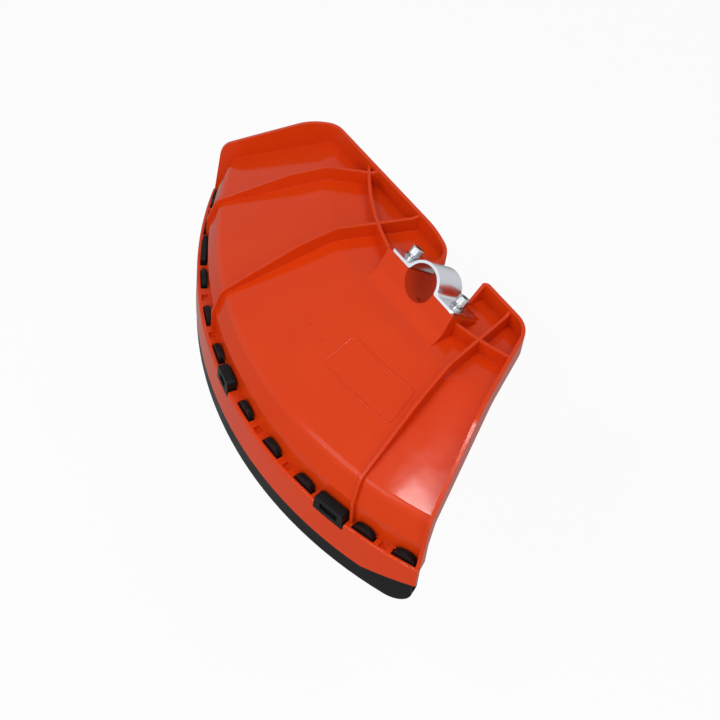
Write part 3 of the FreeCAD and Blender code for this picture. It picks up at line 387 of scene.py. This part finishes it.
def add_piece(name, shape, material):
    """Turns a finished bmesh into a piece of the guard."""
    bmesh.ops.remove_doubles(shape, verts=shape.verts, dist=MERGE_GAP)
    bmesh.ops.recalc_face_normals(shape, faces=shape.faces)
    mesh = bpy.data.meshes.new(name)
    shape.to_mesh(mesh)
    shape.free()
    mesh.materials.append(material)
    piece = bpy.data.objects.new(name, mesh)
    bpy.context.scene.collection.objects.link(piece)
    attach(piece, BODY)
    return piece


def onto_panel(mouldings, along, down, lift):
    """A point of the sloped panel, given along its middle circle, down its slope and above its skin."""
    slope = mouldings.panel_slope
    radius = mouldings.frame_radius + down * math.cos(slope) + lift * math.sin(slope)
    drop = (mouldings.frame_radius - mouldings.crease_radius) * math.tan(slope) + down * math.sin(slope)
    angle = mouldings.frame_angle + along / mouldings.frame_radius
    return Vector((radius * math.sin(angle), mouldings.spindle_reach - radius * math.cos(angle),
                   lift * math.cos(slope) - mouldings.panel_drop - drop))


class GUARD_OT_shell(bpy.types.Operator):
    """Finish the moulded shell"""
    bl_idname = "guard.shell"
    bl_label = "Shell"

    def execute(self, context):
        scene = context.scene
        finish_node("guard_shell", moulded_polypropylene_orange(
            "moulded_polypropylene_orange", scene.guard_colours, scene.guard_mouldings.edge_round,
            scene.guard_fasteners.tilt))
        return {"FINISHED"}


# Steps round a corner of the label frame and over its line's edge, and cuts along its long sides.
CORNER_STEPS = 8
LINE_STEPS = 3
SIDE_CUTS = 15


class GUARD_OT_label_frame(bpy.types.Operator):
    """Raise the bare label frame on the sloped panel"""
    bl_idname = "guard.label_frame"
    bl_label = "Label frame"

    def execute(self, context):
        mouldings = context.scene.guard_mouldings
        shape = bmesh.new()
        bmesh.ops.create_grid(shape, x_segments=1, y_segments=1, size=0.5)
        size = (mouldings.frame_length, mouldings.frame_width, 1)
        bmesh.ops.scale(shape, vec=size, verts=shape.verts)
        bmesh.ops.bevel(shape, geom=shape.verts[:], offset=mouldings.frame_round, affect="VERTICES",
                        segments=CORNER_STEPS, profile=0.5, material=-1)
        half = mouldings.frame_length / 2
        long_edges = [edge for edge in shape.edges if edge.calc_length() > half]
        bmesh.ops.subdivide_edges(shape, edges=long_edges, cuts=SIDE_CUTS)
        inner = shape.faces[:]
        bmesh.ops.inset_region(shape, faces=inner, thickness=mouldings.frame_line, use_boundary=True,
                               use_even_offset=True)
        bmesh.ops.delete(shape, geom=inner, context="FACES")
        raised = bmesh.ops.extrude_face_region(shape, geom=shape.faces[:])["geom"]
        top = [item for item in raised if isinstance(item, bmesh.types.BMVert)]
        bmesh.ops.translate(shape, vec=(0, 0, 2 * mouldings.frame_rise), verts=top)
        lid = {item for item in raised if isinstance(item, bmesh.types.BMFace)}
        brim = [edge for edge in shape.edges if len(lid.intersection(edge.link_faces)) == 1]
        bmesh.ops.bevel(shape, geom=brim, offset=mouldings.frame_rise, affect="EDGES",
                        segments=LINE_STEPS, profile=0.5, material=-1)
        for vert in shape.verts:
            vert.co = onto_panel(mouldings, vert.co.x, vert.co.y, vert.co.z - mouldings.frame_rise)
        material = moulded_polypropylene_orange(
            "moulded_polypropylene_orange_line", context.scene.guard_colours, mouldings.frame_rise / 4,
            context.scene.guard_fasteners.tilt)
        add_piece("label_frame", shape, material)
        return {"FINISHED"}


# Places of the ejector marks from the frame's middle: along the panel and down its slope, in millimetres.
EJECTOR_MARKS = ((-58, 7), (-44, 6))


class GUARD_OT_ejector_marks(bpy.types.Operator):
    """Leave the ejector pins' marks on the sloped panel"""
    bl_idname = "guard.ejector_marks"
    bl_label = "Ejector marks"

    def execute(self, context):
        mouldings = context.scene.guard_mouldings
        material = finish_of("guard_shell")
        radius = mouldings.mark_size / 2
        for number, (along, down) in enumerate(EJECTOR_MARKS, 1):
            shape = bmesh.new()
            bmesh.ops.create_cone(shape, cap_ends=True, segments=ROUND_STEPS, radius1=radius,
                                  radius2=radius - mouldings.frame_rise, depth=2 * mouldings.frame_rise)
            for vert in shape.verts:
                vert.co = onto_panel(mouldings, along * MM + vert.co.x, down * MM + vert.co.y, vert.co.z)
            add_piece(f"ejector_mark_{number}", shape, material)
        return {"FINISHED"}


# Outline of a rib's foot: distance from the spindle and height, in millimetres, round from its top.
FOOT_OUTLINE = ((284.5, -44.6), (286.8, -46.6), (288.6, -49.2), (294.2, -66.6),
                (294.6, -85.3), (290.2, -85.3), (290.2, -67.8), (283.8, -48.8))
# Directions of the ribs' feet at the shoulder and at the ledge, between the tabs, in degrees.
RIB_FEET = {"left": (-37.74, -37.63), "middle": (-20.5, -20.45), "right": (15.35, 15.84)}


class GUARD_OT_rib_feet(bpy.types.Operator):
    """Run the three ribs down the leaning wall to the ledge"""
    bl_idname = "guard.rib_feet"
    bl_label = "Rib feet"

    def execute(self, context):
        mouldings = context.scene.guard_mouldings
        material = finish_of("guard_shell")
        heights = [height * MM for radius, height in FOOT_OUTLINE]
        top, ledge = max(heights), min(heights)
        for word, (start, stop) in RIB_FEET.items():
            shape = bmesh.new()
            side = shape.faces.new([
                shape.verts.new((-mouldings.rib_wall / 2, radius * MM, height * MM))
                for radius, height in FOOT_OUTLINE])
            grown = bmesh.ops.extrude_face_region(shape, geom=[side], use_keep_orig=True)["geom"]
            far = [item for item in grown if isinstance(item, bmesh.types.BMVert)]
            bmesh.ops.translate(shape, vec=(mouldings.rib_wall, 0, 0), verts=far)
            for vert in shape.verts:
                thick, radius, height = vert.co
                share = (top - height) / (top - ledge)
                angle = math.radians(start + (stop - start) * share)
                vert.co.x = radius * math.sin(angle) + thick * math.cos(angle)
                reach = radius * math.cos(angle) - thick * math.sin(angle)
                vert.co.y = mouldings.spindle_reach - reach
            add_piece(f"rib_foot_{word}", shape, material)
        return {"FINISHED"}


# Steps of the seat lip round the tube.
LIP_STEPS = 44


class GUARD_OT_seat_lip(bpy.types.Operator):
    """Carry the tube seat's half pipe on into the notch"""
    bl_idname = "guard.seat_lip"
    bl_label = "Seat lip"

    def execute(self, context):
        mouldings = context.scene.guard_mouldings
        tilt = context.scene.guard_fasteners.tilt
        shape = bmesh.new()
        bmesh.ops.create_grid(shape, x_segments=1, y_segments=1, size=0.5)
        bmesh.ops.scale(shape, vec=(mouldings.lip_wall, mouldings.lip_length, 1), verts=shape.verts)
        out = mouldings.lip_radius + mouldings.lip_wall / 2
        along = mouldings.lip_start + mouldings.lip_length / 2
        bmesh.ops.translate(shape, vec=(out, along, 0), verts=shape.verts)
        bmesh.ops.spin(shape, geom=shape.faces[:], cent=(0, 0, 0), axis=(0, 1, 0),
                       angle=mouldings.lip_sweep, steps=LIP_STEPS)
        bmesh.ops.rotate(shape, matrix=Matrix.Rotation(-tilt, 3, "X"), verts=shape.verts)
        material = finish_of("guard_shell")
        add_piece("seat_lip", shape, material)
        return {"FINISHED"}


class GUARD_OT_skirt(bpy.types.Operator):
    """Finish the clip-on skirt"""
    bl_idname = "guard.skirt"
    bl_label = "Skirt"

    def execute(self, context):
        scene = context.scene
        finish_node("skirt", moulded_polypropylene_black(scene.guard_colours, scene.guard_mouldings))
        return {"FINISHED"}


# Steps along a skirt end, and the share of the hem's rise that it follows before the shell's end wall.
END_STEPS = 16
END_SHARE = 0.97
# How far a skirt end starts below the hem, and its height where the hem starts to rise.
END_SUNK = 0.5 * MM
END_EDGE = 0.2 * MM


class GUARD_OT_skirt_ends(bpy.types.Operator):
    """Fill the skirt's outer face up to the shell's rising hem at both ends"""
    bl_idname = "guard.skirt_ends"
    bl_label = "Skirt ends"

    def execute(self, context):
        mouldings = context.scene.guard_mouldings
        material = finish_of("skirt")
        ends = (("left", mouldings.left_end, -1), ("right", mouldings.right_end, 1))
        for word, end, side in ends:
            shape = bmesh.new()
            bmesh.ops.create_grid(shape, x_segments=END_STEPS, y_segments=1, size=0.5)
            bmesh.ops.translate(shape, vec=(0.5, 0.5, 0), verts=shape.verts)
            raised = bmesh.ops.extrude_face_region(shape, geom=shape.faces[:])["geom"]
            outer = [item for item in raised if isinstance(item, bmesh.types.BMVert)]
            bmesh.ops.translate(shape, vec=(0, 0, 1), verts=outer)
            for vert in shape.verts:
                near_end = vert.co.x * END_SHARE
                rise = vert.co.y * (mouldings.hem_lift * near_end + END_EDGE)
                radius = mouldings.skirt_radius - (1 - vert.co.z) * mouldings.skirt_step
                angle = end - side * mouldings.hem_run * (1 - near_end) / mouldings.skirt_radius
                vert.co = (radius * math.sin(angle), mouldings.spindle_reach - radius * math.cos(angle),
                           rise - mouldings.hem_drop - END_SUNK)
            add_piece(f"skirt_end_{word}", shape, material)
        return {"FINISHED"}


# Sweep of a spring washer's coil, and its steps.
SPRING_SWEEP = math.radians(345)
SPRING_STEPS = 40
# Steps of a turn of thread, its depth as a share of the pitch, and its root as a share of the core.
THREAD_STEPS = 18
THREAD_DEPTH = 0.6
THREAD_ROOT = 0.95
# A head's broken lower edge as a share of its radius, and its top chamfer as a multiple of that edge.
HEAD_EDGE = 0.1
HEAD_CHAMFER = 1.5


def set_on_clamp(shape, fasteners, side):
    """Leans a shape made about an upright screw and moves it to its side of the clamp."""
    across = fasteners.spacing / 2 if side == "right" else -fasteners.spacing / 2
    place = Matrix.Translation((across, 0, 0)) @ Matrix.Rotation(-fasteners.tilt, 4, "X")
    bmesh.ops.transform(shape, matrix=place, verts=shape.verts)


def grow_ring(shape, edges, rise, width):
    """Extrudes a ring of edges upwards and scales it about the screw; returns its edges and points."""
    grown = bmesh.ops.extrude_edge_only(shape, edges=edges)["geom"]
    verts = [item for item in grown if isinstance(item, bmesh.types.BMVert)]
    bmesh.ops.translate(shape, vec=(0, 0, rise), verts=verts)
    bmesh.ops.scale(shape, vec=(width, width, 1), verts=verts)
    ring = set(verts)
    return [edge for edge in shape.edges if ring.issuperset(edge.verts)], verts


def knurled_head(shape, fasteners):
    """A cap screw's head: broken lower edge, straight knurl, chamfered top and hexagon socket."""
    radius = fasteners.head_radius
    edge = radius * HEAD_EDGE
    chamfer = HEAD_CHAMFER * edge
    count = 2 * fasteners.knurl_count
    start = bmesh.ops.create_circle(shape, segments=count, radius=radius - edge)["verts"]
    bmesh.ops.translate(shape, vec=(0, 0, fasteners.head_seat), verts=start)
    bmesh.ops.edgeloop_fill(shape, edges=shape.edges[:])
    ring = list(shape.edges)
    knurl = []
    steps = ((edge, radius / (radius - edge)), (fasteners.head_height - edge - chamfer, 1.0),
             (chamfer, (radius - chamfer) / radius))
    for rise, width in steps:
        ring, verts = grow_ring(shape, ring, rise, width)
        knurl.append(verts)
    for verts in knurl[:2]:
        for vert in verts:
            if round(math.atan2(vert.co.y, vert.co.x) / math.tau * count) % 2:
                vert.co.xy *= 1 - fasteners.knurl_depth / radius
    ring, verts = grow_ring(shape, ring, 0, 1.0)
    for vert in verts:
        turn = math.atan2(vert.co.y, vert.co.x) % (math.pi / 3) - math.pi / 6
        vert.co.xy = vert.co.xy.normalized() * (fasteners.socket_flats / 2 / math.cos(turn))
    ring, verts = grow_ring(shape, ring, -fasteners.socket_depth, 1.0)
    bmesh.ops.edgeloop_fill(shape, edges=ring)


def threaded_shank(shape, fasteners):
    """A core with the thread coiled round it, and a plain length under the head."""
    core = fasteners.shank_radius - THREAD_DEPTH * fasteners.pitch
    length = fasteners.shank_length
    low = fasteners.head_seat - length
    run = fasteners.thread_turns * fasteners.pitch + fasteners.pitch
    plain = length - run
    rods = ((core, length, low + length / 2),
            (fasteners.shank_radius, plain, fasteners.head_seat - plain / 2))
    for radius, depth, middle in rods:
        bmesh.ops.create_cone(shape, cap_ends=True, segments=ROUND_STEPS, radius1=radius, radius2=radius,
                              depth=depth, matrix=Matrix.Translation((0, 0, middle)))
    root = core * THREAD_ROOT
    corners = ((root, 0), (fasteners.shank_radius, fasteners.pitch / 2), (root, fasteners.pitch))
    profile = shape.faces.new([shape.verts.new((radius, 0, low + rise)) for radius, rise in corners])
    bmesh.ops.spin(shape, geom=[profile], cent=(0, 0, 0), axis=(0, 0, 1),
                   angle=math.tau * fasteners.thread_turns, steps=THREAD_STEPS * fasteners.thread_turns,
                   dvec=(0, 0, fasteners.pitch / THREAD_STEPS))


class GUARD_OT_strap(bpy.types.Operator):
    """Finish the clamp strap"""
    bl_idname = "guard.strap"
    bl_label = "Strap"

    def execute(self, context):
        colours = context.scene.guard_colours
        finish_node("tube_clamp", plated_steel(
            "zinc_plated_strap", colours.zinc_shade, colours.zinc, *STRAP_ROUGHNESS))
        return {"FINISHED"}


class GUARD_OT_washers_and_nuts(bpy.types.Operator):
    """Finish the flat washers and nuts, and coil the spring washers"""
    bl_idname = "guard.washers_and_nuts"
    bl_label = "Washers and nuts"

    def execute(self, context):
        fasteners = context.scene.guard_fasteners
        colours = context.scene.guard_colours
        material = plated_steel(
            "bright_plated_washers", colours.bright_steel_shade, colours.bright_steel, *WASHER_ROUGHNESS)
        for side in SIDES:
            finish_node(f"flat_washer_{side}", material)
            finish_node(f"hex_nut_{side}", material)
            rise = fasteners.spring_height - fasteners.spring_wire
            shape = bmesh.new()
            bmesh.ops.create_grid(shape, x_segments=1, y_segments=1, size=fasteners.spring_wire / 2)
            bmesh.ops.rotate(shape, matrix=Matrix.Rotation(math.pi / 2, 3, "X"), verts=shape.verts)
            middle = fasteners.spring_radius - fasteners.spring_wire / 2
            low = fasteners.head_seat - fasteners.spring_height + fasteners.spring_wire / 2
            bmesh.ops.translate(shape, vec=(middle, 0, low), verts=shape.verts)
            bmesh.ops.spin(shape, geom=shape.faces[:], cent=(0, 0, 0), axis=(0, 0, 1), angle=SPRING_SWEEP,
                           dvec=(0, 0, rise / SPRING_STEPS), steps=SPRING_STEPS)
            set_on_clamp(shape, fasteners, side)
            piece = add_piece(f"coiled_spring_washer_{side}", shape, material)
            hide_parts(f"spring_washer_{side}")
        return {"FINISHED"}


class GUARD_OT_screws(bpy.types.Operator):
    """Model the cap screws with their knurl, socket and thread"""
    bl_idname = "guard.screws"
    bl_label = "Cap screws"

    def execute(self, context):
        fasteners = context.scene.guard_fasteners
        colours = context.scene.guard_colours
        material = plated_steel(
            "bright_plated_screws", colours.bright_steel_shade, colours.bright_steel, *SCREW_ROUGHNESS)
        for side in SIDES:
            shape = bmesh.new()
            knurled_head(shape, fasteners)
            threaded_shank(shape, fasteners)
            set_on_clamp(shape, fasteners, side)
            piece = add_piece(f"cap_screw_{side}", shape, material)
            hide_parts(f"clamp_screw_{side}")
        return {"FINISHED"}


# Lamps: name, place, width and depth in metres, and power in watts. All of them point at one spot.
LAMP_AIM = (0.0, -0.04, -0.04)
LAMPS = (
    ("key", (0.09, -0.545, 0.845), 0.14, 0.07, 1.75),
    ("front", (0.85, -0.85, 0.60), 1.5, 1.5, 4.6),
    ("back", (-0.10, -1.08, 0.60), 0.6, 0.6, 3.4),
    ("top", (0.35, 0.20, 1.18), 0.6, 0.6, 3.3),
)
# Half of the floor's side, and how far from the object its reflection starts and ends to grow pale.
FLOOR_HALF = 6
FLOOR_NEAR, FLOOR_FAR = 0.7, 1.2
# Glow of its reflection close by, dimmed there as painted shade, and far off; the share of it that shows
# no shadow.
FLOOR_DIM, FLOOR_PALE = 0.3, 0.8
FLOOR_GLOW = 0.92
# Width of the camera's sensor in millimetres.
SENSOR = 36


def add_lamp(name, place, width, depth, power):
    """An oblong area lamp that points at the object."""
    lamp = bpy.data.lights.new(name, "AREA")
    lamp.shape = "RECTANGLE"
    lamp.size = width
    lamp.size_y = depth
    lamp.energy = power
    holder = bpy.data.objects.new(name, lamp)
    holder.location = place
    holder.rotation_euler = (Vector(LAMP_AIM) - Vector(place)).to_track_quat("-Z", "Y").to_euler()
    holder.visible_camera = False
    bpy.context.scene.collection.objects.link(holder)


def background_rays(tree):
    """Finds the rays that see the background's own brightness: the camera's, and all of them."""
    path = add_node(tree, "ShaderNodeLightPath")
    clear = add_node(tree, "ShaderNodeMath", {"operation": "MAXIMUM"}, {
        0: path.outputs["Is Glossy Ray"], 1: path.outputs["Is Transmission Ray"]})
    seen = add_node(tree, "ShaderNodeMath", {"operation": "MAXIMUM"}, {
        0: path.outputs["Is Camera Ray"], 1: clear.outputs[0]})
    return path.outputs["Is Camera Ray"], seen.outputs[0]


def studio_floor_white(colours):
    """Matt white painted floor."""
    # The camera sees it nearly white, with the object's shadow left in it. Reflections see it glow, dimmed
    # close by as a painted shade round the object, and paler further off.
    material, tree, output, spot = new_material("studio_floor_white")
    camera, seen = background_rays(tree)
    matt = add_node(tree, "ShaderNodeBsdfDiffuse", inputs={"Color": tuple(colours.floor)})
    away = add_node(tree, "ShaderNodeVectorMath", {"operation": "LENGTH"}, {0: spot})
    # Painted shade: reflections see the floor's glow dimmed close by the object and paler further off.
    painted_reflection_glow = add_node(tree, "ShaderNodeMapRange", {"interpolation_type": "SMOOTHSTEP"}, {
        "Value": away.outputs["Value"], "From Min": FLOOR_NEAR, "From Max": FLOOR_FAR,
        "To Min": FLOOR_DIM, "To Max": FLOOR_PALE})
    level = add_node(tree, "ShaderNodeMath", {"operation": "MAXIMUM"}, {
        0: camera, 1: painted_reflection_glow.outputs["Result"]})
    glow = add_node(tree, "ShaderNodeEmission", inputs={"Strength": level.outputs[0]})
    share = add_node(tree, "ShaderNodeMath", {"operation": "MULTIPLY"}, {0: seen, 1: FLOOR_GLOW})
    blend = add_node(tree, "ShaderNodeMixShader", inputs={
        "Fac": share.outputs[0], 1: matt.outputs[0], 2: glow.outputs[0]})
    tree.links.new(blend.outputs[0], output.inputs["Surface"])
    return material


class GUARD_OT_stage(bpy.types.Operator):
    """Set the floor, the lamps, the world and the camera"""
    bl_idname = "guard.stage"
    bl_label = "Stage"

    def execute(self, context):
        scene = context.scene
        stage = scene.guard_stage
        scene.view_settings.view_transform = "Standard"

        mesh = bpy.data.meshes.new("floor")
        plane = bmesh.new()
        bmesh.ops.create_grid(plane, x_segments=1, y_segments=1, size=FLOOR_HALF)
        bmesh.ops.translate(plane, vec=(0, 0, CAD_BOX[0][2] - stage.floor_drop), verts=plane.verts)
        plane.to_mesh(mesh)
        plane.free()
        mesh.materials.append(studio_floor_white(scene.guard_colours))
        floor = bpy.data.objects.new("floor", mesh)
        scene.collection.objects.link(floor)

        world = bpy.data.worlds.new("light_tent")
        world.use_nodes = True
        tree = world.node_tree
        tree.nodes.clear()
        output = add_node(tree, "ShaderNodeOutputWorld")
        seen = background_rays(tree)[1]
        strength = add_node(tree, "ShaderNodeMapRange", inputs={
            "Value": seen, "To Min": stage.tent, "To Max": 1.0})
        sky = add_node(tree, "ShaderNodeBackground", inputs={
            "Color": (1, 1, 1, 1), "Strength": strength.outputs["Result"]})
        tree.links.new(sky.outputs[0], output.inputs["Surface"])
        scene.world = world

        for lamp in LAMPS:
            add_lamp(*lamp)

        view = bpy.data.cameras.new("camera")
        view.sensor_width = SENSOR
        view.lens = stage.lens
        camera = bpy.data.objects.new("camera", view)
        camera.location = stage.camera_place
        camera.rotation_euler = Euler(stage.camera_turn)
        scene.collection.objects.link(camera)
        scene.camera = camera
        return {"FINISHED"}


STEPS = (GUARD_OT_shell, GUARD_OT_rib_feet, GUARD_OT_seat_lip, GUARD_OT_label_frame,
         GUARD_OT_ejector_marks, GUARD_OT_skirt, GUARD_OT_skirt_ends, GUARD_OT_strap,
         GUARD_OT_washers_and_nuts, GUARD_OT_screws, GUARD_OT_stage)


class GUARD_PT_sidebar(bpy.types.Panel):
    """Guard's pieces in the order they are made"""
    bl_idname = "GUARD_PT_sidebar"
    bl_label = "Blade guard"
    bl_space_type = "VIEW_3D"
    bl_region_type = "UI"
    bl_category = "Guard"

    def draw(self, context):
        for step in STEPS:
            self.layout.operator(step.bl_idname)


CLASSES = (GuardColours, GuardMouldings, GuardFasteners, GuardStage) + STEPS + (GUARD_PT_sidebar,)


def register():
    for cls in CLASSES:
        bpy.utils.register_class(cls)
    bpy.types.Scene.guard_colours = PointerProperty(type=GuardColours)
    bpy.types.Scene.guard_mouldings = PointerProperty(type=GuardMouldings)
    bpy.types.Scene.guard_fasteners = PointerProperty(type=GuardFasteners)
    bpy.types.Scene.guard_stage = PointerProperty(type=GuardStage)


def unregister():
    del bpy.types.Scene.guard_stage
    del bpy.types.Scene.guard_fasteners
    del bpy.types.Scene.guard_mouldings
    del bpy.types.Scene.guard_colours
    for cls in reversed(CLASSES):
        bpy.utils.unregister_class(cls)


def main():
    register()
    bpy.ops.guard.shell()
    bpy.ops.guard.rib_feet()
    bpy.ops.guard.seat_lip()
    bpy.ops.guard.label_frame()
    bpy.ops.guard.ejector_marks()
    bpy.ops.guard.skirt()
    bpy.ops.guard.skirt_ends()
    bpy.ops.guard.strap()
    bpy.ops.guard.washers_and_nuts()
    bpy.ops.guard.screws()
    bpy.ops.guard.stage()


if __name__ == "__main__":
    main()
